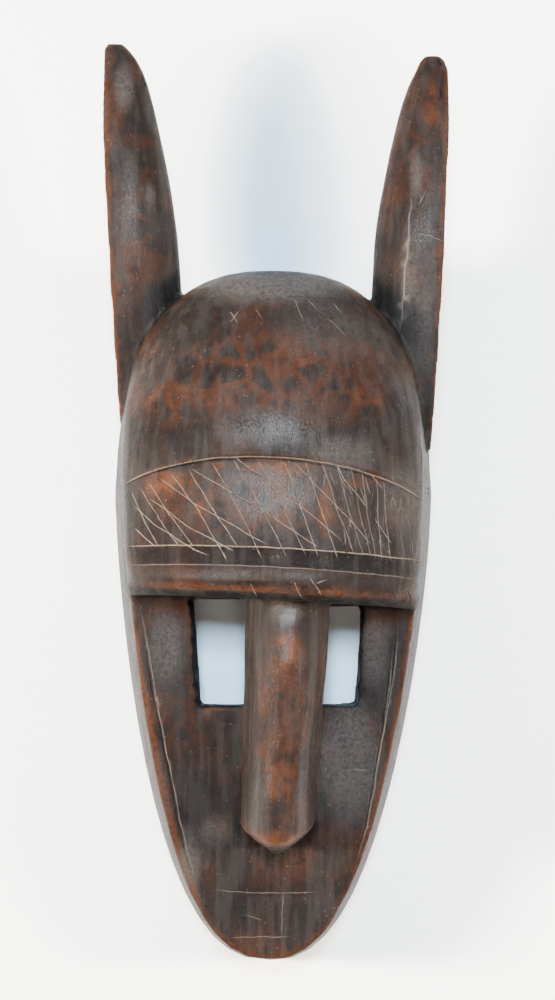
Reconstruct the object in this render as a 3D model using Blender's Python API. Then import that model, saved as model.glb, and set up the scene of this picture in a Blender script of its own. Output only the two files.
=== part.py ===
"""A hyena mask carved from one block of wood, lying face up on the rim of its hollow back.

Run with: blender --background --python part.py

X runs to the right as the face is looked at, Y from the chin to the ears and Z out of the face. Left and
right are as it is looked at. While the mask is shaped, Y counts from the chin's rim, and an empty then
carries everything so that the origin is under the middle of the whole.
"""

import math

import bmesh
import bpy
from mathutils import Vector

# Outline of the head in plan, at the front edge of its side walls
CHIN_Y = 0.0072
WIDEST_Y = 0.244
CROWN_Y = 0.355
DOME_HALF_WIDTH = 0.0785
BAND_HALF_WIDTH = 0.0745
OUTLINE_FULLNESS = 2.5
CHIN_TAPER = 1.5
CHIN_LEAN = -0.0022

# Side walls, between that edge and the rim that the mask lies on
WALL_FLARE = 0.0085
CROWN_TUCK = 0.0060
WALL_BULGE = 0.0012
WALL = 0.0120

# Forehead and brow, at the middle of the mask
DOME_EDGE_Z = 0.055
DOME_CENTRE_Y = 0.235
DOME_RISE = 0.061
DOME_FULLNESS = 2.2
RIDGE_Y = 0.2615
RIDGE_DROOP = 0.0175
RIDGE_STEP = 0.0015
BAND_EDGE_Z = 0.075
BROW_SWELL = 0.003
CHANNEL_TOP_Y = 0.2172
CHANNEL_WIDTH = 0.0088
CHANNEL_DEPTH = 0.0012
CHANNEL_DROOP = 0.0040
LIP_RADIUS = 0.0130
LIP_Y = 0.192
LIP_DROOP = 0.0020
LIP_EDGE_Z = 0.070
BROW_TILT = 0.0036
BROW_FULLNESS = 2.4

BROW_Z = DOME_EDGE_Z + DOME_RISE + BROW_SWELL

# Recessed face below the brow
FACE_TOP_Z = 0.0605
FACE_CHIN_Z = 0.046
FACE_DISH = 0.0025
BORDER = 0.0045
BORDER_DROP = 0.0014

# Nose
NOSE_TOP_X = 0.0071
NOSE_TIP_X = 0.0020
NOSE_TIP_Y = 0.0658
NOSE_BEVEL = 0.0112
NOSE_TOP_HALF_WIDTH = 0.0222
NOSE_TIP_HALF_WIDTH = 0.0182
NOSE_Z = 0.097
NOSE_ROOT_DIP = 0.0045
NOSE_TIP_DROP = 0.019
NOSE_FULLNESS = 2.25

# Eye holes: from the middle of the mask to the hole's outer side, at its top and its foot
EYE_FOOT_Y = 0.1355
LEFT_EYE = {"top_y": 0.1900, "outer_x": (-0.0412, -0.0388)}
RIGHT_EYE = {"top_y": 0.1865, "outer_x": (0.0454, 0.0438)}
EYE_TAPER = (0.0018, 0.0032)
EYE_UNDER_NOSE = 0.0030

# Ears: each leans out from its foot on the side of the head to its tip
EAR_WIDTH = 0.0345
EAR_TIP_LENGTH = 0.103
EAR_HALF_DEPTH = 0.0205
EAR_Z = 0.0500
EAR_RIM = 0.0028
EAR_HOLLOW = 0.0085
EAR_FULLNESS = 2.2
LEFT_EAR = {"foot_x": -0.0772, "tip_x": -0.0850, "foot_y": 0.2780, "tip_y": 0.4710, "corner": 0.0050}
RIGHT_EAR = {"foot_x": 0.0798, "tip_x": 0.0880, "foot_y": 0.2640, "tip_y": 0.4650, "corner": 0.0100}

# Hollow behind the face, at the middle of the mask
FACE_THICKNESS = 0.0135
FOREHEAD_THICKNESS = 0.0160
HOLLOW_STEP_TOP_Y = 0.2280
HOLLOW_STEP_FOOT_Y = 0.1960
HOLLOW_CORNER = 3.2
HOLLOW_CHIN_ROUND = 0.055
OVERCUT = 0.004

# Fineness of the faceting
COLUMNS = 30
WALL_STEPS = 4
DOME_ROWS = 13
FACE_ROWS = 13
EAR_ROWS = 22
HOLLOW_ROWS = 30

WOOD_COLOUR = (0.060, 0.033, 0.022, 1.0)
WOOD_ROUGHNESS = 0.42


def smooth(value, start, end):
    """0 before start, 1 after end, and an even curve between them."""
    t = min(1.0, max(0.0, (value - start) / (end - start)))
    return t * t * (3.0 - 2.0 * t)


def mix(a, b, t):
    return a + (b - a) * t


def power(value, exponent):
    return math.copysign(abs(value) ** exponent, value)


def clear_scene():
    for obj in list(bpy.data.objects):
        bpy.data.objects.remove(obj, do_unlink=True)


def new_collection(name):
    made = bpy.data.collections.new(name)
    bpy.context.scene.collection.children.link(made)
    return made


def wood_material():
    made = bpy.data.materials.new("stained_wood")
    made.use_nodes = True
    shader = made.node_tree.nodes["Principled BSDF"]
    shader.inputs["Base Color"].default_value = WOOD_COLOUR
    shader.inputs["Roughness"].default_value = WOOD_ROUGHNESS
    shader.inputs["Metallic"].default_value = 0.0
    return made


def loft(name, sections, target):
    """A solid through closed sections of equally many points. An end that isn't a mere line gets a cap."""
    shape = bmesh.new()
    rings = [[shape.verts.new(point) for point in section] for section in sections]
    count = len(rings[0])
    for ring, following in zip(rings, rings[1:]):
        for i in range(count):
            j = (i + 1) % count
            shape.faces.new((ring[i], ring[j], following[j], following[i]))
    for ring in (rings[0], rings[-1]):
        across = [vert.co.x for vert in ring]
        if max(across) - min(across) > 1e-6:
            shape.faces.new(ring)
    bmesh.ops.remove_doubles(shape, verts=shape.verts, dist=1e-6)
    bmesh.ops.recalc_face_normals(shape, faces=shape.faces)
    mesh = bpy.data.meshes.new(name)
    shape.to_mesh(mesh)
    shape.free()
    made = bpy.data.objects.new(name, mesh)
    target.objects.link(made)
    return made


def helper(obj):
    """Marks a blank or a cutter, which is no piece of the mask by itself."""
    obj.hide_render = True
    obj.display_type = "WIRE"
    return obj


def combine(obj, other, operation):
    step = obj.modifiers.new(f"{operation.lower()}_{other.name}", "BOOLEAN")
    step.operation = operation
    step.solver = "EXACT"
    step.object = other


# Plan outline of the head: angle 0 is the crown, a right angle the widest place and a half turn the chin
def outline(angle, half_width, grow=0.0):
    across = abs(math.sin(angle)) ** (2.0 / OUTLINE_FULLNESS)
    if angle <= math.pi / 2:
        reach = CROWN_Y + grow - WIDEST_Y
        along = math.cos(angle) ** (2.0 / OUTLINE_FULLNESS) * reach
    else:
        reach = WIDEST_Y - CHIN_Y + grow
        along = -(abs(math.cos(angle)) ** (2.0 / CHIN_TAPER)) * reach
    return (half_width + grow) * across, WIDEST_Y + along


def angle_at(y):
    """The outline's angle at a height along Y, for the edge of the side walls."""
    if y >= WIDEST_Y:
        share = (y - WIDEST_Y) / (CROWN_Y - WIDEST_Y)
        return math.acos(min(1.0, share) ** (OUTLINE_FULLNESS / 2.0))
    share = (WIDEST_Y - y) / (WIDEST_Y - CHIN_Y)
    return math.pi - math.acos(min(1.0, share) ** (CHIN_TAPER / 2.0))


def edge_half_width(angle):
    return mix(DOME_HALF_WIDTH, BAND_HALF_WIDTH, smooth(angle, math.radians(50), math.radians(88)))


def flare(angle):
    """How far the rim stands outside the front edge of the wall. At the crown it is tucked in."""
    return mix(-CROWN_TUCK, WALL_FLARE, smooth(angle, math.radians(40), math.radians(92)))


def lean(y):
    """The chin stands a little to one side."""
    return CHIN_LEAN * smooth(WIDEST_Y - y, 0.0, WIDEST_Y - CHIN_Y)


def arch(u, flatness, rise):
    """Height share across the mask: half an ellipse on the dome, an arc of a circle on the band."""
    ellipse = math.sqrt(max(0.0, 1.0 - u * u))
    radius = (1.0 + rise * rise) / (2.0 * rise)
    arc = (math.sqrt(radius * radius - u * u) - (radius - rise)) / rise
    return mix(ellipse, arc, flatness)


def tilt(y):
    """The brow is cut a little askew: lower on the right, most of all at its lip."""
    return BROW_TILT * smooth(y, CHIN_Y, LIP_Y) * (1.0 - smooth(y, LIP_Y + LIP_RADIUS, CROWN_Y))


def full_arch(u):
    """Height share across the brow: flatter in the middle than half an ellipse, and rounder at the edges."""
    return (1.0 - min(1.0, abs(u)) ** BROW_FULLNESS) ** (1.0 / BROW_FULLNESS)


def body_section(angle, edge_z, centre_y, centre_z, flatness, border=0.0, fullness=0.0):
    """One closed section of the solid block: up the wall, over the front, down the wall and along the floor."""
    edge_x, edge_y = outline(angle, edge_half_width(angle))
    rim_x, rim_y = outline(angle, edge_half_width(angle), flare(angle))
    rise = max(0.05, abs(centre_z - edge_z) / max(edge_x, 1e-4))
    flatness = flatness if rise < 1.0 else 0.0
    wall = []
    for i in range(WALL_STEPS):
        t = i / WALL_STEPS
        bulge = WALL_BULGE * math.sin(math.pi * t) * math.sin(angle)
        wall.append((mix(rim_x, edge_x, t) + bulge, mix(rim_y, edge_y, t), edge_z * t))
    front = []
    for i in range(COLUMNS + 1):
        u = math.sin(math.pi * (i / COLUMNS - 0.5))
        share = arch(u, flatness, rise)
        z = mix(edge_z, centre_z, mix(share, full_arch(u), fullness))
        if border:
            z -= border * max(0.0, 1.0 - edge_x * (1.0 - abs(u)) / BORDER)
        front.append((u * edge_x, mix(edge_y, centre_y, share), z))
    points = [(-x, y, z) for x, y, z in wall] + front + list(reversed(wall))
    askew = [-tilt(centre_y) * min(1.0, z / edge_z) * x / max(edge_x, 1e-4) for x, y, z in points]
    return [Vector((x + lean(y), y + shift, z)) for (x, y, z), shift in zip(points, askew)]


def dome_sections():
    """From the crown to the ridge that ends the dome above the brow band."""
    reach = CROWN_Y - DOME_CENTRE_Y
    ridge_share = (RIDGE_Y - DOME_CENTRE_Y) / reach
    ridge_turn = math.acos(ridge_share ** (DOME_FULLNESS / 2.0))
    for i in range(DOME_ROWS + 1):
        f = i / DOME_ROWS
        turn = ridge_turn * f
        centre_y = DOME_CENTRE_Y + reach * math.cos(turn) ** (2.0 / DOME_FULLNESS)
        centre_z = DOME_EDGE_Z + DOME_RISE * math.sin(turn) ** (2.0 / DOME_FULLNESS)
        angle = angle_at(RIDGE_Y - RIDGE_DROOP) * f
        edge_z = mix(DOME_EDGE_Z, BAND_EDGE_Z, smooth(f, 0.45, 1.0))
        turned = smooth(f, 0.5, 1.0)
        yield body_section(angle, edge_z, centre_y, centre_z, turned, fullness=turned)


def brow_profile():
    """(height along Y, Z, droop towards the sides) down the middle of the brow band and round its lip."""
    reach = CROWN_Y - DOME_CENTRE_Y
    ridge_share = (RIDGE_Y - DOME_CENTRE_Y) / reach
    ridge_z = DOME_EDGE_Z + DOME_RISE * (1.0 - ridge_share**DOME_FULLNESS) ** (1.0 / DOME_FULLNESS)
    top_y, top_z = RIDGE_Y - RIDGE_STEP, ridge_z - RIDGE_STEP
    yield top_y, top_z, RIDGE_DROOP
    for t in (0.33, 0.67):
        y = mix(top_y, CHANNEL_TOP_Y, t)
        yield y, mix(top_z, BROW_Z, t), mix(RIDGE_DROOP, CHANNEL_DROOP, t)
    foot_y = CHANNEL_TOP_Y - CHANNEL_WIDTH
    yield CHANNEL_TOP_Y, BROW_Z, CHANNEL_DROOP
    yield CHANNEL_TOP_Y - CHANNEL_DEPTH, BROW_Z - CHANNEL_DEPTH, CHANNEL_DROOP
    yield foot_y + CHANNEL_DEPTH, BROW_Z - CHANNEL_DEPTH, CHANNEL_DROOP
    yield foot_y, BROW_Z, CHANNEL_DROOP
    for degrees in (20, 45, 70, 90):
        turn = math.radians(degrees)
        y = LIP_Y + LIP_RADIUS * (1.0 - math.sin(turn))
        yield y, BROW_Z - LIP_RADIUS * (1.0 - math.cos(turn)), LIP_DROOP


def brow_sections():
    for y, z, droop in brow_profile():
        edge_z = mix(BAND_EDGE_Z, LIP_EDGE_Z, smooth(CHANNEL_TOP_Y - y, 0.0, CHANNEL_TOP_Y - LIP_Y))
        yield body_section(angle_at(y - droop), edge_z, y, z, 1.0, fullness=1.0)


def recess_sections():
    """Under the brow, back to the face. The wall's edge steps down there over a short way along Y."""
    for t in (0.35, 0.7):
        z = mix(BROW_Z - LIP_RADIUS, FACE_TOP_Z, t)
        edge_z = mix(LIP_EDGE_Z, FACE_TOP_Z, t)
        angle = angle_at(LIP_Y - LIP_DROOP - t * BORDER_DROP)
        yield body_section(angle, edge_z, LIP_Y, z, 1.0, fullness=1.0 - t)


def face_z(y):
    """Height of the face's edge, falling gently from the brow to the chin."""
    return mix(FACE_CHIN_Z, FACE_TOP_Z, (y - CHIN_Y) / (LIP_Y - CHIN_Y))


def face_sections():
    top_y = LIP_Y - LIP_DROOP - BORDER_DROP
    top_angle = angle_at(top_y)
    for i in range(FACE_ROWS + 1):
        t = i / FACE_ROWS
        angle = mix(top_angle, math.pi, t)
        _, y = outline(angle, BAND_HALF_WIDTH)
        dish = FACE_DISH * smooth(y - CHIN_Y, 0.0, BORDER * 8)
        centre_y = LIP_Y if i == 0 else y
        yield body_section(angle, face_z(y), centre_y, face_z(y) - dish, 1.0, BORDER_DROP)


def carve_block(target):
    """The head and face as one solid block, before it is hollowed."""
    sections = [*dome_sections(), *brow_sections(), *recess_sections(), *face_sections()]
    return loft("mask", sections, target)


def hollow_ceiling(y):
    """Height of the hollow along the middle of the mask."""
    behind_face = (face_z(y) - FACE_THICKNESS) * min(1.0, (y - WALL) / HOLLOW_CHIN_ROUND) ** 0.5
    share = max(0.0, y - DOME_CENTRE_Y) / (CROWN_Y - CROWN_TUCK - WALL - DOME_CENTRE_Y)
    top = BROW_Z - FOREHEAD_THICKNESS
    behind_dome = top * max(0.0, 1.0 - share**DOME_FULLNESS) ** (1.0 / DOME_FULLNESS)
    return mix(behind_face, behind_dome, smooth(y, HOLLOW_STEP_FOOT_Y, HOLLOW_STEP_TOP_Y))


def hollow_sections():
    """The space behind the face, from the crown to the chin, cut a little deeper than the rim."""
    for i in range(1, HOLLOW_ROWS):
        angle = math.pi * i / HOLLOW_ROWS
        half_width, y = outline(angle, edge_half_width(angle), flare(angle) - WALL)
        ceiling = max(0.002, hollow_ceiling(y))
        section = []
        for j in range(COLUMNS + 1):
            turn = math.pi * (1.0 - j / COLUMNS)
            x = half_width * power(math.cos(turn), 2.0 / HOLLOW_CORNER)
            z = ceiling * abs(math.sin(turn)) ** (2.0 / HOLLOW_CORNER)
            section.append(Vector((x + lean(y), y, z)))
        foot = [Vector((sign * half_width + lean(y), y, -OVERCUT)) for sign in (1, -1)]
        yield section + foot


def carve_hollow(target):
    return helper(loft("hollow_cutter", list(hollow_sections()), target))


def nose_x(y):
    return mix(NOSE_TIP_X, NOSE_TOP_X, smooth(y, NOSE_TIP_Y, LIP_Y))


def nose_half_width(y):
    """Full width down to the bevelled tip, which ends in a blunt point."""
    body = mix(NOSE_TIP_HALF_WIDTH, NOSE_TOP_HALF_WIDTH, smooth(y, NOSE_TIP_Y, LIP_Y))
    return body * min(1.0, max(0.12, (y - NOSE_TIP_Y) / NOSE_BEVEL)) ** 0.62


def nose_z(y):
    dip = NOSE_ROOT_DIP * smooth(y, LIP_Y - 0.035, LIP_Y)
    drop = NOSE_TIP_DROP * (1.0 - smooth(y, NOSE_TIP_Y - 0.003, NOSE_TIP_Y + 0.8 * NOSE_BEVEL))
    return NOSE_Z - dip - drop


def nose_sections():
    foot_z = FACE_CHIN_Z + 0.3 * (FACE_TOP_Z - FACE_CHIN_Z)
    heights = [NOSE_TIP_Y + NOSE_BEVEL * f for f in (0.0, 0.12, 0.3, 0.5, 0.75, 1.0)]
    heights += [mix(heights[-1], LIP_Y + LIP_RADIUS / 2, f) for f in (0.12, 0.3, 0.5, 0.7, 0.82, 0.92, 1.0)]
    for y in heights:
        half_width = nose_half_width(y)
        rise = nose_z(y) - foot_z
        section = []
        for i in range(COLUMNS // 2 + 1):
            turn = math.pi * (1.0 - 2.0 * i / COLUMNS)
            x = half_width * power(math.cos(turn), 2.0 / NOSE_FULLNESS)
            z = foot_z + rise * abs(math.sin(turn)) ** (2.0 / NOSE_FULLNESS)
            section.append(Vector((nose_x(y) + x, y, z)))
        yield section + [Vector((nose_x(y) + s * half_width, y, foot_z - OVERCUT)) for s in (1, -1)]


def carve_nose(target):
    return helper(loft("nose_blank", list(nose_sections()), target))


def eye_cutter(name, eye, target):
    """A slot through the face beside the nose, a little narrower at its back."""
    outer_x = eye["outer_x"]
    side = math.copysign(1.0, outer_x[0])
    sections = []
    for z, inset in ((FACE_TOP_Z + OVERCUT, 0.0), (FACE_CHIN_Z - FACE_THICKNESS, 1.0)):
        taper = [side * EYE_TAPER[i] * inset for i in (0, 1)]
        top, foot = eye["top_y"], EYE_FOOT_Y + EYE_TAPER[0] * inset
        inner = [nose_x(y) + side * (nose_half_width(y) - EYE_UNDER_NOSE) for y in (top, foot)]
        sections.append(
            [
                Vector((outer_x[0] - taper[0], top, z)),
                Vector((inner[0], top, z)),
                Vector((inner[1], foot, z)),
                Vector((outer_x[1] - taper[1], foot, z)),
            ]
        )
    return helper(loft(name, sections, target))


def ear_sections(ear):
    """A leaf-shaped half shell: rounded towards the middle of the head, hollowed on its outer side."""
    side = math.copysign(1.0, ear["foot_x"])
    length = ear["tip_y"] - ear["foot_y"]
    for i in range(1, EAR_ROWS):
        f = 0.5 - 0.5 * math.cos(math.pi * i / EAR_ROWS)
        y = ear["foot_y"] + length * f
        corner = 1.0 - min(1.0, (ear["tip_y"] - y) / ear["corner"])
        outer_x = mix(ear["foot_x"], ear["tip_x"], min(1.0, 1.25 * f)) - side * 0.5 * ear["corner"] * corner**2
        to_tip = 1.0 - min(1.0, (ear["tip_y"] - y) / EAR_TIP_LENGTH)
        width = EAR_WIDTH * (1.0 - to_tip**1.3) ** 0.34 * (0.2 + 0.8 * smooth(f, 0.0, 0.3))
        half_depth = EAR_HALF_DEPTH * math.sin(math.pi * f) ** 0.65
        hollow = min(EAR_HOLLOW, 0.45 * width) * smooth(math.sin(math.pi * f), 0.12, 0.6)
        rim = min(EAR_RIM, 0.3 * half_depth)
        section = []
        for j in range(COLUMNS // 2 + 1):
            turn = math.pi * (0.5 - 2.0 * j / COLUMNS)
            x = width * abs(math.cos(turn)) ** (2.0 / EAR_FULLNESS)
            section.append((x, half_depth * power(math.sin(turn), 2.0 / EAR_FULLNESS)))
        for j in range(7):
            turn = math.pi * j / 6
            z = -(half_depth - rim) * math.cos(turn)
            section.append((hollow * math.sin(turn) ** 0.7 if 0 < j < 6 else 0.0, z))
        yield [Vector((outer_x - side * x, y, EAR_Z + z)) for x, z in section]


def carve_ear(name, ear, target):
    return helper(loft(name, list(ear_sections(ear)), target))


def centre_on_origin(mask):
    """Moves everything together, so that the origin is under the middle of the mask."""
    bpy.context.view_layer.update()
    carved = mask.evaluated_get(bpy.context.evaluated_depsgraph_get())
    corners = [carved.matrix_world @ Vector(corner) for corner in carved.bound_box]
    low = [min(corner[k] for corner in corners) for k in range(3)]
    high = [max(corner[k] for corner in corners) for k in range(3)]
    carrier = bpy.data.objects.new("mask_frame", None)
    bpy.context.scene.collection.objects.link(carrier)
    for obj in bpy.data.objects:
        if obj != carrier:
            obj.parent = carrier
    carrier.location = (-(low[0] + high[0]) / 2, -(low[1] + high[1]) / 2, 0.0)


def main():
    clear_scene()
    pieces = new_collection("suruku_mask")
    helpers = new_collection("blanks_and_cutters")
    mask = carve_block(pieces)
    mask.data.materials.append(wood_material())
    combine(mask, carve_nose(helpers), "UNION")
    combine(mask, carve_ear("left_ear_blank", LEFT_EAR, helpers), "UNION")
    combine(mask, carve_ear("right_ear_blank", RIGHT_EAR, helpers), "UNION")
    combine(mask, eye_cutter("left_eye_cutter", LEFT_EYE, helpers), "DIFFERENCE")
    combine(mask, eye_cutter("right_eye_cutter", RIGHT_EYE, helpers), "DIFFERENCE")
    combine(mask, carve_hollow(helpers), "DIFFERENCE")
    centre_on_origin(mask)


main()
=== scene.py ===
"""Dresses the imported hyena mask: worn and scratched surface, stained wood, sheet, lights and camera.

All lengths are in metres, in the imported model's frame: X to the right as the face is looked at, Y from the
chin to the ears, Z out of the face, and the mask lies on Z = 0.
"""

import math
import random

import bmesh
import bpy
import numpy as np
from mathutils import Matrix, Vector, noise
from mathutils.bvhtree import BVHTree
from mathutils.kdtree import KDTree


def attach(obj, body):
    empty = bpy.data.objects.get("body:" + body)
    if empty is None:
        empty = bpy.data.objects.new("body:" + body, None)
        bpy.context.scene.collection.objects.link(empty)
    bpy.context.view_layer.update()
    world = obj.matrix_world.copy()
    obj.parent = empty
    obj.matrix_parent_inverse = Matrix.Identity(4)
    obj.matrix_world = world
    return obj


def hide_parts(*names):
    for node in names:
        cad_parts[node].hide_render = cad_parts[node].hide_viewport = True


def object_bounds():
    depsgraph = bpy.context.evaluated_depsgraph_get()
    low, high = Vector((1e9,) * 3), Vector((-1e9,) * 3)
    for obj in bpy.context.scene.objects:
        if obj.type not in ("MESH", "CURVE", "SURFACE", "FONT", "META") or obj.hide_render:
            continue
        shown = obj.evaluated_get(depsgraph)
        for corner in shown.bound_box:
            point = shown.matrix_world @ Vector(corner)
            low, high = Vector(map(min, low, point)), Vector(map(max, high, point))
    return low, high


bl_info = {
    "name": "Hyena Mask",
    "version": (1, 0, 0),
    "blender": (4, 5, 0),
    "location": "3D View > Sidebar > Mask",
    "description": "Makes a carved hyena mask of stained wood, lying face up on a pale sheet",
    "category": "Object",
}

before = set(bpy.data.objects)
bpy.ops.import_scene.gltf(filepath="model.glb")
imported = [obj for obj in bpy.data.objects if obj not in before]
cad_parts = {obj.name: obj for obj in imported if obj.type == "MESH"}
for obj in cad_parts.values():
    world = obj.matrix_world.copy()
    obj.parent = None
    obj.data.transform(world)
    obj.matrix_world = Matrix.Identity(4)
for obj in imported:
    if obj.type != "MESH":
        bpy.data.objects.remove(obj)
CAD_LOW, CAD_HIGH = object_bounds()

# The photograph: its size in pixels, and the real size of a pixel at a height above the sheet
PHOTO_WIDTH = 555
PHOTO_HEIGHT = 1000
PIXEL = 0.0005
PIXEL_HEIGHT = 0.060
CAMERA_X = 0.00075
CAMERA_Y = 0.0056
SENSOR = 24.0

# The brow's lines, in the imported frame, where they cross the middle of the mask
MIDDLE_X = -0.00155
BAND_HALF_WIDTH = 0.0745
RIDGE_Y = 0.0262
CHANNEL_TOP_Y = -0.0172
CHANNEL_FOOT_Y = -0.0260
LIP_EDGE_Y = -0.0385
LIP_UNDER_Y = -0.0420

MILLIMETRE = 0.001

# Ways up and sideways that are tried to tell the outside from the hollow back
WAYS_OUT = ((0, 0, 1), (1, 0, 0.3), (-1, 0, 0.3), (0, 1, 0.3), (0, -1, 0.3))

# Flat knife cuts: how many, how far each reaches across the grain, and the share of that along it
KNIFE_CUTS = 650
KNIFE_REACH = 0.012
KNIFE_STRETCH = 0.4

# Gouge marks in the hollow back, in the same way
GOUGE_MARKS = 420
GOUGE_REACH = 0.008
GOUGE_STRETCH = 0.55

# How far an eye hole's edge wanders, and how far from the edge that is full and has faded out
EDGE_WANDER = 0.0018
WANDER_FULL = 0.003
WANDER_END = 0.009

# Triangles of the carved form before the faces beside its marks are split
NET_TRIANGLES = 110000

# Squares of the plan grid that faces are looked up in
GRID = 0.006

# Longest straight cut under a mark, and how near to a cut's plane a point counts as on it
CUT_LENGTH = 0.005
ON_PLANE = 3e-5

# No mark changes the surface further from its line than this
MARK_REACH = 0.009

# Half the width of the sheet
SHEET_REACH = 3.0


class MaskSizes(bpy.types.PropertyGroup):
    net: bpy.props.FloatProperty(
        name="Net",
        description="Size of the faces that the carved form is first made of",
        default=0.0013,
        unit="LENGTH",
    )
    guard: bpy.props.FloatProperty(
        name="Guard",
        description="Strip beside each scratch and cut line that keeps its shading off the faces around it",
        default=0.0004,
        unit="LENGTH",
    )
    facet_depth: bpy.props.FloatProperty(
        name="Facet Depth",
        description="Thickness of the chip that each flat knife cut takes off",
        default=0.0003,
        unit="LENGTH",
    )
    gouge_depth: bpy.props.FloatProperty(
        name="Gouge Depth",
        description="Depth of the gouge marks in the hollow back",
        default=0.0008,
        unit="LENGTH",
    )
    scratch_width: bpy.props.FloatProperty(
        name="Scratch Width",
        description="Width of the scratched lines on the brow",
        default=0.00045,
        unit="LENGTH",
    )
    scratch_depth: bpy.props.FloatProperty(
        name="Scratch Depth",
        description="Depth of the scratched lines on the brow",
        default=0.00025,
        unit="LENGTH",
    )


def linear(hex_colour):
    """An sRGB hex value as the linear colour that Blender works in."""
    parts = [int(hex_colour[i : i + 2], 16) / 255 for i in (1, 3, 5)]
    return tuple(p / 12.92 if p <= 0.04045 else ((p + 0.055) / 1.055) ** 2.4 for p in parts)


def colour(name, description, hex_colour):
    return bpy.props.FloatVectorProperty(
        name=name,
        description=description,
        subtype="COLOR",
        size=3,
        min=0.0,
        max=1.0,
        default=linear(hex_colour),
    )


class MaskColours(bpy.types.PropertyGroup):
    umber: colour("Umber", "The dark stain over most of the wood", "#141110")
    # Besides stain, this colour paints shade: in hollows, in the brow's channel, under the lip, along the
    # nose's foot, on the eye holes' edges and on the sides of the dome and brow
    soot_and_shade: colour("Soot", "Near-black stain in hollows and patches", "#0a0909")
    russet: colour("Russet", "Red-brown wood where the stain is thin", "#25150e")
    rust: colour("Rust", "Worn red-brown wood", "#29160d")
    ochre: colour("Ochre", "Orange-brown wood laid bare by handling", "#3c2011")
    # This pale colour also paints a highlight along the right ear's ridge
    dust_and_highlight: colour("Dust", "Pale dust and bared fibres in scratches", "#807365")
    # Besides the wax and dust film, this grey paints sheen and highlights on the face, the ears, the crown,
    # the lip and the brow
    bloom_and_sheen: colour("Bloom", "Grey film of wax and dust", "#363230")


class StudioSettings(bpy.types.PropertyGroup):
    camera_height: bpy.props.FloatProperty(
        name="Camera Height",
        description="Height of the camera above the sheet",
        default=1.25,
        unit="LENGTH",
    )
    side_power: bpy.props.FloatProperty(
        name="Side Lights",
        description="Power of the low warm light on the left, in watts. The right one is weaker",
        default=235.0,
    )
    top_power: bpy.props.FloatProperty(
        name="Top Light",
        description="Power of the small cool light above, in watts",
        default=84.0,
    )
    glint_power: bpy.props.FloatProperty(
        name="Glints",
        description="Power of the narrow lights that show only as reflections, in watts",
        default=37.0,
    )
    sheet: colour("Sheet", "The pale sheet under the mask", "#f1f1f0")


def settings():
    scene = bpy.context.scene
    return scene.mask_sizes, scene.mask_colours, scene.mask_studio


def smooth(value, start, end):
    """0 before start, 1 after end, and an even curve between them, for numbers or arrays."""
    t = np.clip((value - start) / (end - start), 0.0, 1.0)
    return t * t * (3.0 - 2.0 * t)


# Marks that are cut, scratched or rubbed into the surface


class Mark:
    """Points along one kind of line on the surface, with how strong the line is at each of them."""

    # A mark's grime darkens its line: real grime in nicks, grooves and slits, and painted shade in the
    # brow's channel, under the lip and the ridge, along the nose's foot and on the eye holes' edges
    def __init__(self, width, depth=0.0, dust_and_highlight=0.0, wear=0.0, grime_and_shade=0.0, fine=True):
        self.width = width
        self.depth = depth
        self.dust_and_highlight = dust_and_highlight
        self.wear = wear
        self.grime_and_shade = grime_and_shade
        self.fine = fine
        self.points = []
        self.strength = []
        self.lines = []

    def add(self, points, fade=0.0, strength=1.0):
        """Adds a line, unless it missed the mask. Its ends fade out over the given share of its length."""
        if points:
            self.lines.append(points)
        last = max(1, len(points) - 1)
        for i, point in enumerate(points):
            t = i / last
            end = min(t, 1.0 - t)
            self.points.append(point)
            self.strength.append(strength * (min(1.0, end / fade) if fade else 1.0))

    def tree(self):
        tree = KDTree(len(self.points))
        for i, point in enumerate(self.points):
            tree.insert(point, i)
        tree.balance()
        return tree


class Surface:
    """The mask's surface, to lay lines on from above or from a place in the photograph."""

    def __init__(self, mesh):
        shape = bmesh.new()
        shape.from_mesh(mesh)
        self.tree = BVHTree.FromBMesh(shape)
        shape.free()
        height = settings()[2].camera_height
        self.eye = Vector((CAMERA_X, CAMERA_Y, height))
        self.slope = PIXEL / (height - PIXEL_HEIGHT)

    def under_pixel(self, across, down):
        """Where the photograph's pixel falls on the mask."""
        right = (across - PHOTO_WIDTH / 2) * self.slope
        up = (PHOTO_HEIGHT / 2 - down) * self.slope
        return self.tree.ray_cast(self.eye, Vector((right, up, -1.0)).normalized())[0]

    def from_above(self, x, y):
        return self.tree.ray_cast(Vector((x, y, 1.0)), Vector((0.0, 0.0, -1.0)))[0]

    def photo_line(self, corners, wander=0.0, seed=0, step=0.3):
        """Points on the mask along a line through pixels of the photograph, wandering a little."""
        points = []
        for (x0, y0), (x1, y1) in zip(corners, corners[1:]):
            length = math.hypot(x1 - x0, y1 - y0)
            count = max(2, int(length / step))
            for i in range(count + 1):
                t = i / count
                sway = wander * noise.noise(Vector((seed * 7.3, length * t * 0.06, 0.5)))
                x = x0 + (x1 - x0) * t + sway * (y1 - y0) / length
                y = y0 + (y1 - y0) * t - sway * (x1 - x0) / length
                hit = self.under_pixel(x, y)
                if hit:
                    points.append(hit)
        return points

    def brow_line(self, middle_y, droop, tilt, rise=0.53, reach=0.985):
        """Points along a line cut round the brow: lower at its ends, and lower still on the right."""
        radius = (1.0 + rise * rise) / (2.0 * rise)
        points = []
        count = 1000
        for i in range(count + 1):
            u = reach * (2.0 * i / count - 1.0)
            share = (math.sqrt(radius * radius - u * u) - (radius - rise)) / rise
            wander = 0.0003 * noise.noise(Vector((u * 9.0, middle_y * 90.0, 0.0)))
            y = middle_y - droop * (1.0 - share) - tilt * u + wander
            hit = self.from_above(MIDDLE_X + u * BAND_HALF_WIDTH, y)
            if hit:
                points.append(hit)
        return points


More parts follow.
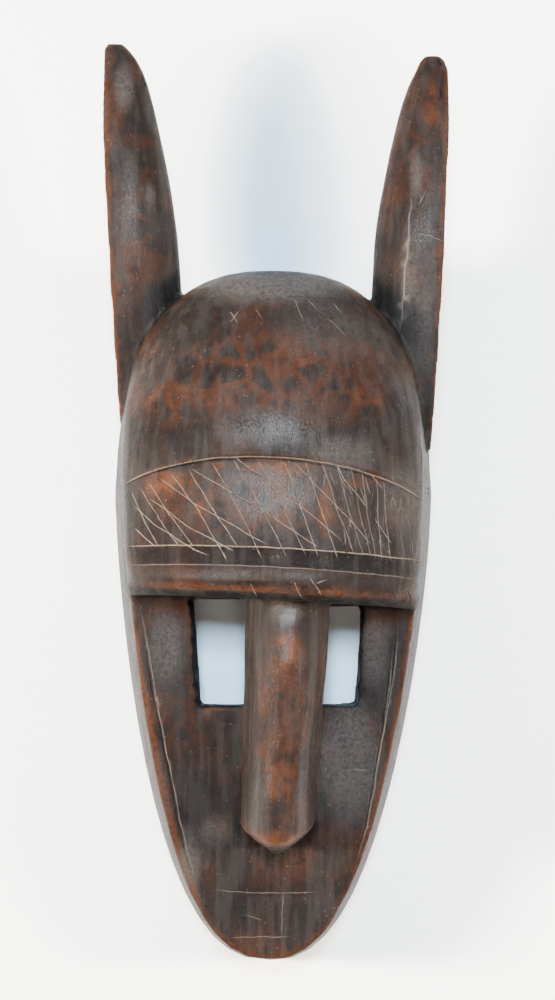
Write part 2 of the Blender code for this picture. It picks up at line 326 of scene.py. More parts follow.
# Scratches on the brow, as pixels of the photograph. The steep ones are given by where they start across
# the top, where they end across the foot and how far they run over it, and the long ones corner by corner
STEEP_TOPS = (131, 141, 149, 171, 189, 212, 233, 258, 284, 305, 322, 337, 351, 362, 377, 384)
STEEP_FEET = (158, 179, 194, 228, 238, 263, 287, 306, 318, 338, 354, 364, 371, 376, 382, 391)
STEEP_OVERRUN = (0, 0, 0, 16, 0, 13, 10, 8, 10, 8, 0, 0, 0, 0, 0, 0)
LONG_SCRATCHES = (
    ((159, 478), (193, 503), (204, 509), (266, 544)),
    ((190, 468), (265, 512), (319, 548)),
    ((233, 456), (280, 489), (340, 539)),
    ((296, 465), (352, 522), (371, 545)),
    ((337, 465), (343, 478), (368, 508)),
    ((149, 498), (190, 528), (234, 551)),
    ((134, 506), (153, 524), (193, 549), (209, 556)),
    ((136, 530), (154, 546)),
    ((371, 474), (383, 489)),
    ((376, 520), (391, 544)),
)


def ridge_pixel(across):
    return 453 + 40 * ((across - 270) / 153) ** 2


def foot_pixel(across):
    return 547 + 20 * max(0.0, (across - 320) / 100)


def brow_scratches(surface, sizes):
    """Two crossing sets of scratches, with a thicket of short ones towards the right."""
    made = Mark(sizes.scratch_width, depth=sizes.scratch_depth, dust_and_highlight=0.62)
    chance = random.Random(11)
    for i, (top, foot) in enumerate(zip(STEEP_TOPS, STEEP_FEET)):
        start = (top, ridge_pixel(top) + chance.uniform(3, 8))
        middle = ((top + foot) / 2 - 1.5, (start[1] + foot_pixel(foot)) / 2)
        end = (foot, foot_pixel(foot) + STEEP_OVERRUN[i])
        points = surface.photo_line((start, middle, end), wander=0.8, seed=i)
        made.add(points, fade=0.06, strength=chance.uniform(0.65, 1.0) * (0.6 if top > 330 else 1.0))
    for i, corners in enumerate(LONG_SCRATCHES):
        points = surface.photo_line(corners, wander=0.8, seed=40 + i)
        made.add(points, fade=0.06, strength=chance.uniform(0.7, 1.0))
    for i in range(32):
        x = chance.gauss(362, 20)
        y = chance.uniform(ridge_pixel(x) + 8, 535)
        length = chance.uniform(6, 19)
        lean = chance.uniform(-0.25, 0.55)
        points = surface.photo_line(((x, y), (x + lean * length, y + length)), wander=0.8, seed=80 + i)
        made.add(points, fade=0.25, strength=chance.uniform(0.15, 0.65))
    for i in range(26):
        x = chance.uniform(395, 418)
        y = chance.uniform(500, 560)
        points = surface.photo_line(((x, y), (x + 2, y + chance.uniform(12, 30))), seed=140 + i)
        made.add(points, fade=0.3, strength=chance.uniform(0.1, 0.3))
    return made


# Where the chin starts in the photograph, in pixels down
CHIN_PIXEL = 880


def other_scratches(surface, sizes):
    """Chance scratches on the dome, over the lip and, fainter, on the chin."""
    made = Mark(0.8 * sizes.scratch_width, depth=0.6 * sizes.scratch_depth, dust_and_highlight=0.55)
    lines = [
        ((249, 583), (257, 598)),
        ((294, 581), (303, 598)),
        ((310, 577), (321, 596)),
        ((316, 584), (326, 580)),
        ((213, 890), (262, 893), (318, 892)),
        ((283, 889), (282, 915), (281, 936)),
        ((232, 937), (290, 937)),
        ((352, 770), (367, 770)),
        ((245, 915), (262, 921)),
        ((229, 312), (238, 323)),
        ((238, 311), (229, 322)),
        ((256, 308), (262, 318)),
        ((294, 300), (304, 320)),
        ((308, 300), (315, 308)),
        ((327, 318), (346, 335)),
        ((335, 304), (342, 314)),
        ((417, 233), (432, 236), (443, 241)),
        ((424, 196), (420, 206)),
        ((409, 641), (412, 648)),
    ]
    for i, corners in enumerate(lines):
        strength = 0.45 if corners[0][1] > CHIN_PIXEL else 0.8
        made.add(surface.photo_line(corners, wander=1.5, seed=200 + i), fade=0.15, strength=strength)
    return made


# Nicks across the lip: where each starts in the photograph and its length, in pixels
LIP_NICKS = ((367, 587, 10), (392, 592, 8), (408, 592, 9), (416, 594, 6), (329, 584, 8))


def lip_nicks(surface):
    """Dark nicks across the worn lip, towards its right end."""
    made = Mark(0.0008, depth=0.0005, grime_and_shade=0.9)
    for i, (x, y, length) in enumerate(LIP_NICKS):
        made.add(surface.photo_line(((x, y), (x + 3, y + length)), seed=300 + i), fade=0.2)
    return made


def small_damage(surface):
    """Slit near the left ear's tip, dimples near the right one's, nicks in the side wall, and a painted
    highlight along the right ear's ridge.
    """
    slit = Mark(0.0016, depth=0.0022, grime_and_shade=1.0)
    slit.add(surface.photo_line(((141, 74), (146, 88)), seed=350), fade=0.15)
    dimple = Mark(0.0020, depth=0.0012, grime_and_shade=0.4)
    dimple.add(surface.photo_line(((440, 90), (441, 94)), seed=351))
    dimple.add(surface.photo_line(((438, 59), (441, 64)), seed=352))
    nicks = Mark(0.0012, depth=0.0007, grime_and_shade=0.9)
    for i, y in enumerate((488, 493, 548)):
        nicks.add(surface.photo_line(((425, y), (429, y + 1)), seed=353 + i))
    # A painted highlight down the right ear's ridge, laid on as pale dust
    ear_ridge_highlight = Mark(0.0010, dust_and_highlight=0.30)
    corners = ((412, 190), (409, 240), (403, 300), (401, 335))
    ear_ridge_highlight.add(surface.photo_line(corners, wander=2.0, seed=357), fade=0.2)
    return [slit, dimple, nicks, ear_ridge_highlight]


def face_grooves(surface):
    """The fine lines cut into the face a little inside its edge, down both sides."""
    made = Mark(0.0008, depth=0.0003, grime_and_shade=0.5)
    left = ((137, 602), (146, 650), (154, 700), (167, 765), (182, 840), (195, 888))
    inner_left = ((143, 640), (152, 690), (164, 745), (176, 800))
    right = ((391, 645), (387, 690), (378, 752), (365, 827), (352, 868))
    inner_right = ((396, 628), (393, 668), (384, 720), (370, 790))
    for i, corners in enumerate((left, inner_left, right, inner_right)):
        made.add(surface.photo_line(corners, wander=1.2, seed=320 + i), fade=0.15)
    pale = Mark(0.0007, dust_and_highlight=0.35)
    for i, corners in enumerate((left, right, inner_right)):
        beside = tuple((x + 2.2, y) for x, y in corners)
        pale.add(surface.photo_line(beside, wander=1.2, seed=320 + i), fade=0.2, strength=0.8)
    return [made, pale]


def cut_lines(surface):
    """The lines that are cut round the brow, each with its pale, worn or dark side. The dark line under the
    ridge, the dark channel and the dark band under the lip are painted shade.
    """
    # A groove under the ridge, darkened with a painted shadow
    ridge = Mark(0.0009, depth=0.0005, grime_and_shade=0.9)
    ridge.add(surface.brow_line(RIDGE_Y - 0.0013, 0.0175, 0.0036), fade=0.04)
    ridge_edge = Mark(0.0008, dust_and_highlight=0.28, wear=0.7)
    ridge_edge.add(surface.brow_line(RIDGE_Y - 0.0001, 0.0175, 0.0036), fade=0.04)
    upper = Mark(0.0007, depth=0.0003, dust_and_highlight=0.50)
    upper.add(surface.brow_line(CHANNEL_TOP_Y + 0.0002, 0.0040, 0.0036), fade=0.10)
    lower = Mark(0.0006, depth=0.0001, dust_and_highlight=0.22)
    lower.add(surface.brow_line(CHANNEL_FOOT_Y - 0.0002, 0.0040, 0.0036), fade=0.10)
    # Painted shade in the channel between the two lines
    channel = Mark(0.0080, grime_and_shade=0.75, fine=False)
    channel.add(surface.brow_line((CHANNEL_TOP_Y + CHANNEL_FOOT_Y) / 2, 0.0040, 0.0036), fade=0.05)
    lip = Mark(0.0030, wear=0.75, fine=False)
    lip.add(surface.brow_line(LIP_EDGE_Y + 0.0013, 0.0022, 0.0036), fade=0.20)
    # Painted shade under the lip
    under_lip = Mark(0.0066, grime_and_shade=1.0, fine=False)
    under_lip.add(surface.brow_line(LIP_UNDER_Y + 0.0008, 0.0022, 0.0036), fade=0.02)
    return [ridge, ridge_edge, upper, lower, channel, lip, under_lip]


# Pixels of the photograph on the face beside the eye holes' outer edges
EYE_HOLE_EDGES = [(189, y) for y in range(606, 712, 6)] + [(366, y) for y in range(612, 716, 6)]


def corner_shade(surface):
    """Painted shade along the foot of the nose and on the edges of the eye holes."""
    made = Mark(0.0034, grime_and_shade=0.9, fine=False)
    lines = [
        ((241, 708), (239, 770), (239, 828), (262, 852), (300, 852), (317, 828), (321, 770), (323, 708)),
        ((192, 600), (194, 640), (199, 706), (238, 707)),
        ((324, 708), (360, 709), (362, 660), (363, 606)),
    ]
    for i, corners in enumerate(lines):
        made.add(surface.photo_line(corners, wander=1.5, seed=400 + i, step=1.0))
    return made


def worn_edges(surface):
    """Edges that handling has rubbed through to orange-brown wood."""
    made = Mark(0.0020, wear=0.65, fine=False)
    lines = [
        ((127, 598), (137, 650), (146, 700), (158, 765), (176, 840), (201, 912)),
        ((419, 612), (412, 650), (403, 690), (387, 765), (372, 840), (350, 900)),
        ((250, 839), (262, 842), (280, 844), (296, 841)),
        ((252, 840), (266, 844), (290, 843)),
        ((105, 60), (106, 150), (108, 225), (113, 300), (117, 375), (120, 412)),
        ((447, 80), (446, 125), (445, 200), (443, 275), (440, 340), (436, 400), (433, 440)),
    ]
    for i, corners in enumerate(lines):
        made.add(surface.photo_line(corners, wander=2.5, seed=360 + i, step=1.0))
    return made


# Thin patches in the stain: middle in the photograph's pixels, reach across and along, and how far the wood
# shows
BARE_PATCHES = (
    (165, 484, 36, 15, 1.00),
    (205, 508, 11, 10, 0.95),
    (216, 467, 24, 7, 0.60),
    (278, 467, 42, 9, 0.80),
    (283, 500, 12, 36, 0.30),
    (326, 512, 9, 34, 0.75),
    (360, 480, 30, 9, 0.50),
    (395, 512, 20, 15, 0.45),
    (205, 397, 72, 15, 0.35),
    (272, 352, 44, 28, 0.25),
    (300, 358, 14, 10, 0.60),
    (204, 348, 9, 5, 1.00),
    (365, 398, 26, 9, 0.55),
    (150, 402, 18, 14, 0.60),
    (286, 655, 18, 30, 0.85),
    (281, 842, 24, 8, 1.00),
    (281, 770, 18, 60, 0.60),
    (262, 690, 9, 30, 0.35),
    (432, 105, 11, 34, 0.50),
    (110, 55, 7, 16, 0.60),
    (115, 110, 9, 34, 0.35),
    (165, 700, 20, 18, 0.25),
    (190, 740, 22, 30, 0.20),
    (286, 956, 7, 5, 0.90),
)

# Patches of dark stain, in the same way: thick soot, except that those on the sides of the dome and the brow
# and the one under the nose's tip are painted shade, and the two down the sides of the nose make them darker
SOOT_AND_SHADE_PATCHES = (
    (161, 405, 9, 9, 0.90),
    (212, 372, 18, 15, 0.80),
    (258, 350, 14, 13, 0.70),
    (245, 400, 15, 9, 0.75),
    (290, 384, 20, 12, 0.50),
    (265, 436, 170, 17, 0.60),
    (160, 531, 38, 15, 0.75),
    (238, 541, 62, 10, 0.75),
    (375, 507, 30, 22, 0.55),
    (285, 770, 12, 46, 0.15),
    (272, 851, 12, 8, 0.95),
    (140, 430, 26, 46, 0.70),
    (408, 430, 28, 60, 0.75),
    (128, 520, 14, 50, 0.80),
    (405, 530, 26, 36, 0.70),
    (250, 740, 10, 120, 0.35),
    (314, 740, 10, 120, 0.35),
    (270, 905, 60, 34, 0.75),
    (204, 770, 34, 70, 0.45),
)


# Places that hands have rubbed to a gloss, in the same way
POLISHED_PATCHES = (
    (268, 428, 62, 22, 1.00),
    (268, 492, 66, 38, 0.85),
    (178, 500, 52, 44, 0.70),
    (365, 500, 50, 44, 0.50),
    (165, 395, 44, 50, 0.45),
    (370, 395, 44, 50, 0.40),
    (340, 445, 30, 12, 0.70),
    (235, 586, 100, 6, 1.00),
    (284, 618, 20, 15, 1.00),
    (283, 780, 54, 80, 0.85),
    (283, 680, 48, 70, 0.70),
    (140, 195, 22, 95, 0.55),
    (418, 195, 20, 85, 0.75),
    (350, 770, 26, 60, 0.45),
    (372, 655, 14, 40, 0.45),
    (200, 860, 30, 40, 0.25),
)

# Places with a grey film, in the same way: partly wax and dust, and mostly painted sheen on the face, the
# ears, the crown, the lip and the brow, with painted highlights at the root of the nose and on the right of
# the dome
FILM_AND_SHEEN_PATCHES = (
    (270, 285, 80, 24, 1.00),
    (330, 330, 60, 40, 0.35),
    (285, 612, 20, 14, 0.75),
    (350, 760, 36, 74, 1.00),
    (374, 650, 16, 46, 0.75),
    (166, 645, 22, 46, 0.80),
    (190, 860, 14, 36, 0.70),
    (215, 830, 20, 20, 0.45),
    (124, 85, 12, 30, 0.90),
    (150, 195, 7, 16, 0.75),
    (130, 200, 12, 60, 0.40),
    (416, 172, 8, 30, 0.80),
    (408, 272, 10, 52, 0.60),
    (425, 330, 14, 60, 0.45),
    (345, 455, 40, 20, 0.40),
    (240, 575, 100, 6, 0.55),
    (400, 500, 26, 40, 0.45),
)

# Where the stain has shrunk to dark spots with red-brown wood between them, in the same way
WEB_PATCHES = (
    (265, 372, 112, 46, 1.00),
    (168, 400, 44, 30, 0.90),
    (360, 395, 40, 28, 0.70),
    (240, 505, 110, 40, 0.60),
    (135, 240, 24, 80, 0.60),
    (420, 160, 20, 60, 0.50),
    (180, 720, 40, 60, 0.50),
    (285, 680, 26, 60, 0.60),
)

PATCHES = {
    "bare": BARE_PATCHES,
    "soot_and_shade": SOOT_AND_SHADE_PATCHES,
    "polish": POLISHED_PATCHES,
    "film_and_sheen": FILM_AND_SHEEN_PATCHES,
    "web": WEB_PATCHES,
}


def patches(surface, points, table):
    """How strongly the patches of a table cover each point."""
    cover = np.zeros(len(points))
    for across, down, reach_x, reach_y, strength in table:
        middle = surface.under_pixel(across, down)
        away = (points - np.array(middle)) / (PIXEL * np.array([reach_x, reach_y, max(reach_x, reach_y)]))
        distance = np.linalg.norm(away, axis=1)
        cover = np.maximum(cover, strength * (1.0 - smooth(distance, 0.35, 1.15)))
    return cover


# Shaping


def even_net(sizes):
    """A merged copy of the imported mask, as an even net of small faces with its sharp edges rubbed soft."""
    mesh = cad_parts["mask"].data.copy()
    mesh.materials.clear()
    shape = bmesh.new()
    shape.from_mesh(mesh)
    bmesh.ops.remove_doubles(shape, verts=shape.verts, dist=1e-6)
    shape.to_mesh(mesh)
    shape.free()
    rough = bpy.data.objects.new("rough_mask", mesh)
    bpy.context.scene.collection.objects.link(rough)
    net = rough.modifiers.new("net", "REMESH")
    net.mode = "VOXEL"
    net.voxel_size = sizes.net
    rub = rough.modifiers.new("rub", "SMOOTH")
    rub.factor = 0.5
    rub.iterations = 2
    bpy.context.view_layer.update()
    result = bpy.data.meshes.new_from_object(rough.evaluated_get(bpy.context.evaluated_depsgraph_get()))
    bpy.data.objects.remove(rough)
    return result


def positions(mesh):
    values = np.empty(len(mesh.vertices) * 3)
    mesh.vertices.foreach_get("co", values)
    return values.reshape(-1, 3)


def vertex_normals(mesh):
    values = np.empty(len(mesh.vertices) * 3)
    mesh.vertex_normals.foreach_get("vector", values)
    return values.reshape(-1, 3)


def place(mesh, points):
    mesh.vertices.foreach_set("co", points.ravel())
    mesh.update()


def is_inside(mesh, points, normals):
    """True for points of the hollow back, from which no way up or sideways is open."""
    shape = bmesh.new()
    shape.from_mesh(mesh)
    tree = BVHTree.FromBMesh(shape)
    shape.free()
    ways = [Vector(way).normalized() for way in WAYS_OUT]
    inside = np.zeros(len(points), dtype=bool)
    for i, (point, normal) in enumerate(zip(points, normals)):
        start = Vector(point + normal * 0.0015)
        inside[i] = all(tree.ray_cast(start, way)[0] is not None for way in ways)
    return inside


def knife_facets(points, normals, inside, sizes):
    """Planes the outside down in long flat cuts along the grain."""
    chance = np.random.RandomState(3)
    outside = np.flatnonzero(~inside & (points[:, 2] > 0.004))
    before, facing_all = points[outside].copy(), normals[outside]
    order = np.argsort(before[:, 1])
    along = before[order, 1]
    half_length = KNIFE_REACH / KNIFE_STRETCH
    for i in chance.choice(len(outside), KNIFE_CUTS, replace=False):
        facing = facing_all[i]
        first, last = np.searchsorted(along, (before[i, 1] - half_length, before[i, 1] + half_length))
        near = order[first:last]
        away = before[near] - before[i]
        distance = np.linalg.norm(away * np.array([1.0, KNIFE_STRETCH, 1.0]), axis=1)
        depth = sizes.facet_depth * chance.uniform(0.3, 1.0)
        over = (points[outside[near]] - before[i]) @ facing + depth
        faces_alike = facing_all[near] @ facing > 0.88
        cut = (over > 0) & (over < 2.4 * depth) & (distance < KNIFE_REACH) & faces_alike
        fade = 1.0 - smooth(distance[cut], 0.5 * KNIFE_REACH, KNIFE_REACH)
        soft = fade * (1.0 - smooth(over[cut], 1.2 * depth, 2.4 * depth))
        points[outside[near[cut]]] -= facing * (over[cut] * soft)[:, None]


def gouge_marks(points, normals, inside, sizes):
    """Shallow scoops in the hollow back."""
    chance = np.random.RandomState(8)
    hollow = np.flatnonzero(inside)
    stretch = np.array([1.0, GOUGE_STRETCH, 1.0])
    seeds = points[chance.choice(hollow, GOUGE_MARKS, replace=False)] * stretch
    tree = KDTree(len(seeds))
    for i, seed in enumerate(seeds):
        tree.insert(seed, i)
    tree.balance()
    for i in hollow:
        distance = tree.find(Vector(points[i] * stretch))[2]
        scoop = sizes.gouge_depth * (1.0 - min(1.0, distance / GOUGE_REACH) ** 2)
        points[i] -= normals[i] * scoop * smooth(points[i][2], 0.002, 0.010)


def unevenness(points, normals):
    """The slow unevenness of a form that was judged by eye."""
    for i, point in enumerate(points):
        slow = noise.noise(Vector(point) * 28.0) + 0.4 * noise.noise(Vector(point) * 75.0)
        points[i] += normals[i] * 0.0004 * slow * smooth(point[2], 0.001, 0.012)


def ragged_eye_holes(points, surface):
    """Makes the cut edges of the eye holes wander, as a knife leaves them."""
    edges = KDTree(len(EYE_HOLE_EDGES))
    for i, (across, down) in enumerate(EYE_HOLE_EDGES):
        edges.insert(surface.under_pixel(across, down), i)
    edges.balance()
    for i, point in enumerate(points):
        away = edges.find(Vector(point))[2]
        if away < WANDER_END:
            wander = EDGE_WANDER * (1.0 - float(smooth(away, WANDER_FULL, WANDER_END)))
            points[i][0] += wander * (noise.noise(Vector((7.0, point[1] * 210.0, 0.0))) - 0.25)
            points[i][1] += 0.6 * wander * noise.noise(Vector((point[0] * 240.0, 3.0, 0.0)))


def thin_out(mesh, share):
    """Fewer faces where the surface is flat."""
    carrier = bpy.data.objects.new("net_carrier", mesh)
    bpy.context.scene.collection.objects.link(carrier)
    fewer = carrier.modifiers.new("fewer", "DECIMATE")
    fewer.ratio = share
    bpy.context.view_layer.update()
    result = bpy.data.meshes.new_from_object(carrier.evaluated_get(bpy.context.evaluated_depsgraph_get()))
    bpy.data.objects.remove(carrier)
    return result


def segments(line, length):
    """Pairs of points about a length apart along a line."""
    corners = [line[0]]
    for point in line[1:-1]:
        if (point - corners[-1]).length > length:
            corners.append(point)
    corners.append(line[-1])
    return [(a, b) for a, b in zip(corners, corners[1:]) if (b - a).length > 0.0003]


def cells_of(face):
    """The squares of a plan grid that a face reaches into."""
    across = [math.floor(vert.co.x / GRID) for vert in face.verts]
    along = [math.floor(vert.co.y / GRID) for vert in face.verts]
    return [(i, j) for i in range(min(across), max(across) + 1) for j in range(min(along), max(along) + 1)]


def split_faces(faces, where, side):
    """Splits faces where a plane runs through them, and returns them with their new halves."""
    beyond = {}
    for vert in dict.fromkeys(vert for face in faces for vert in face.verts):
        distance = (vert.co - where).dot(side)
        beyond[vert] = 0.0 if abs(distance) < ON_PLANE else distance
    for edge in dict.fromkeys(edge for face in faces for edge in face.edges):
        a, b = edge.verts
        if beyond[a] * beyond[b] < 0.0:
            _, made = bmesh.utils.edge_split(edge, a, beyond[a] / (beyond[a] - beyond[b]))
            beyond[made] = 0.0
    halves = []
    for face in faces:
        on_plane = [i for i, vert in enumerate(face.verts) if beyond[vert] == 0.0]
        halves.append(face)
        if len(on_plane) == 2 and on_plane[1] - on_plane[0] not in (1, len(face.verts) - 1):
            made, _ = bmesh.utils.face_split(face, face.verts[on_plane[0]], face.verts[on_plane[1]])
            if made:
                halves.append(made)
    return halves


def cut_along(shape, surface, marks, guard):
    """Cuts the faces under each mark lengthwise, so that its floor and edges are edges of the net."""
    cells = {}
    for face in shape.faces:
        for cell in cells_of(face):
            cells.setdefault(cell, []).append(face)
    for mark in marks:
        half = mark.width / 2
        offsets = [-half, 0.0, half]
        if mark.depth:
            offsets = [-half - guard, *offsets, half + guard]
        for start, end in [pair for line in mark.lines for pair in segments(line, CUT_LENGTH)]:
            length, along = (end - start).length, (end - start).normalized()
            facing = surface.tree.find_nearest((start + end) / 2)[1]
            side = along.cross(facing).normalized()
            up = side.cross(along)
            low = [min(start[k], end[k]) - guard for k in (0, 1)]
            high = [max(start[k], end[k]) + guard for k in (0, 1)]
            near = {}
            for i in range(math.floor(low[0] / GRID), math.floor(high[0] / GRID) + 1):
                for j in range(math.floor(low[1] / GRID), math.floor(high[1] / GRID) + 1):
                    near.update((face, None) for face in cells.get((i, j), ()))
            under = []
            for face in near:
                from_start = [vert.co - start for vert in face.verts]
                ahead = [offset.dot(along) for offset in from_start]
                beside = [offset.dot(side) for offset in from_start]
                above = [abs(offset.dot(up)) for offset in from_start]
                if max(ahead) < 0.0 or min(ahead) > length or min(above) > 0.003:
                    continue
                if max(beside) > offsets[0] and min(beside) < offsets[-1] and face.normal.dot(up) > 0.3:
                    under.append(face)
            for offset in offsets:
                under = split_faces(under, start + side * offset, side)
            for face in under:
                for cell in cells_of(face):
                    cells.setdefault(cell, []).append(face)


def refine(mesh, surface, marks, sizes):
    """Fits the net to the fine marks before they are carved."""
    shape = bmesh.new()
    shape.from_mesh(mesh)
    cut_along(shape, surface, [mark for mark in marks if mark.fine], sizes.guard)
    bmesh.ops.triangulate(shape, faces=shape.faces)
    shape.to_mesh(mesh)
    shape.free()
    mesh.update()


def hollow_or_edge(mesh, points, normals, rounds):
    """How far each point stands out of its surroundings: above 0 on an edge, below 0 in a hollow."""
    count = len(points)
    edges = np.empty(len(mesh.edges) * 2, dtype=np.int64)
    mesh.edges.foreach_get("vertices", edges)
    edges = edges.reshape(-1, 2)
    ends, others = edges.ravel(), edges[:, ::-1].ravel()
    share = np.bincount(ends, minlength=count)
    blurred = points.copy()
    for _ in range(rounds):
        for k in range(3):
            blurred[:, k] = np.bincount(ends, weights=blurred[others, k], minlength=count) / share
    return np.einsum("ij,ij->i", points - blurred, normals)


def carried_over(points, from_points, values):
    """The value that the nearest of the earlier points had, for each point."""
    tree = KDTree(len(from_points))
    for i, point in enumerate(from_points):
        tree.insert(point, i)
    tree.balance()
    return values[[tree.find(point)[1] for point in points]]


def carve_marks(mesh, marks):
    """Cuts the grooves and returns how much dust, wear and grime each point has. The grime includes painted
    shade, and the dust a painted highlight.
    """
    points, normals = positions(mesh), vertex_normals(mesh)
    amounts = {kind: np.zeros(len(points)) for kind in ("dust_and_highlight", "wear", "grime_and_shade")}
    sunk = np.zeros(len(points))
    joined = Mark(0.0)
    for mark in marks:
        joined.points += mark.points
    anywhere = joined.tree()
    near_a_mark = [i for i, point in enumerate(points) if anywhere.find(point)[2] < MARK_REACH]
    for mark in marks:
        tree = mark.tree()
        half = mark.width / 2
        for i in near_a_mark:
            _, nearest, distance = tree.find(points[i])
            if distance > 2.0 * half:
                continue
            strength = mark.strength[nearest]
            bowl = max(0.0, 1.0 - distance / half)
            sunk[i] = max(sunk[i], mark.depth * bowl * strength)
            near = float(1.0 - smooth(distance, 0.4 * half, (1.1 if mark.fine else 2.0) * half)) * strength
            for kind in amounts:
                amounts[kind][i] = max(amounts[kind][i], near * getattr(mark, kind))
    points -= normals * sunk[:, None]
    place(mesh, np.clip(points, CAD_LOW, CAD_HIGH))
    return amounts


def store(mesh, name, values):
    layer = mesh.attributes.new(name, "FLOAT", "POINT")
    layer.data.foreach_set("value", np.asarray(values, dtype=np.float32))


# The wood


def node(tree, kind, inputs=None, output=0, **options):
    """Adds a node and returns one of its outputs. Each input is a plain value, or a socket to link from."""
    made = tree.nodes.new(kind)
    for name, value in options.items():
        setattr(made, name, value)
    for name, value in (inputs or {}).items():
        if isinstance(value, bpy.types.NodeSocket):
            tree.links.new(value, made.inputs[name])
        else:
            made.inputs[name].default_value = value
    return made.outputs[output]


# Patterns in the stain: name, patch size in millimetres, how far it is drawn out along the fibres, detail,
# roughness and a shift that keeps the patterns apart. Real fibres are a tenth of a millimetre wide, and are
# drawn as coarse as it takes for them to show
PATTERNS = (
    ("patches", 30.0, 1.0, 5.0, 0.60, 0.0),
    ("clouds", 9.0, 1.0, 5.0, 0.65, 3.1),
    ("crumbs", 2.0, 1.0, 4.0, 0.75, 7.7),
    ("fibres", 0.6, 4.0, 2.0, 0.60, 5.2),
    ("streaks", 4.5, 9.0, 3.0, 0.50, 1.9),
    ("specks", 1.3, 1.6, 2.0, 0.60, 9.3),
)

# The web's cells and the bends in it, in millimetres, and how far the bends sway it, in metres
WEB_SIZE = 12.82
BEND_SIZE = 11.11
BEND_SWAY = 0.010

# Layers of the stain from the wood up: pattern, where it starts and is full, the most it covers (a share or
# the name of a stored amount), and the colour
# The grime and soot layers lay painted shade as well as dark stain, the film layer lays painted sheen and
# highlights as well as wax and dust, and the dust layer lays a painted highlight on an ear as well as dust
STAIN_LAYERS = (
    ("patches", 0.48, 0.62, 0.75, "russet"),
    ("clouds", 0.50, 0.66, 0.7, "soot_and_shade"),
    ("streaks", 0.50, 0.72, 0.30, "russet"),
    ("web", 0.20, 0.03, "web", "rust"),
    ("clouds", 0.34, 0.52, "bare", "rust"),
    ("clouds", 0.44, 0.60, "bare", "ochre"),
    ("patches", 0.10, 0.20, "soot_and_shade", "soot_and_shade"),
    ("crumbs", 0.30, 0.54, "wear", "ochre"),
    ("patches", 0.00, 0.10, "grime_and_shade", "soot_and_shade"),
    ("fibres", 0.50, 0.66, 0.30, "soot_and_shade"),
    ("crumbs", 0.85, 0.30, "film_and_sheen", "bloom_and_sheen"),
    ("streaks", 0.58, 0.40, 0.15, "bloom_and_sheen"),
    ("specks", 0.64, 0.78, 0.12, "dust_and_highlight"),
    ("crumbs", 0.22, 0.52, "dust_and_highlight", "dust_and_highlight"),
)

# Roughness of the wood as cut, and where hands have rubbed it
UNRUBBED = 0.42
RUBBED = 0.12

# Layers of roughness in the same way, with how much each adds
GLOSS_LAYERS = (
    ("clouds", 0.35, 0.70, 0.08),
    ("fibres", 0.40, 0.70, 0.08),
    ("crumbs", 0.35, 0.75, 0.12),
)


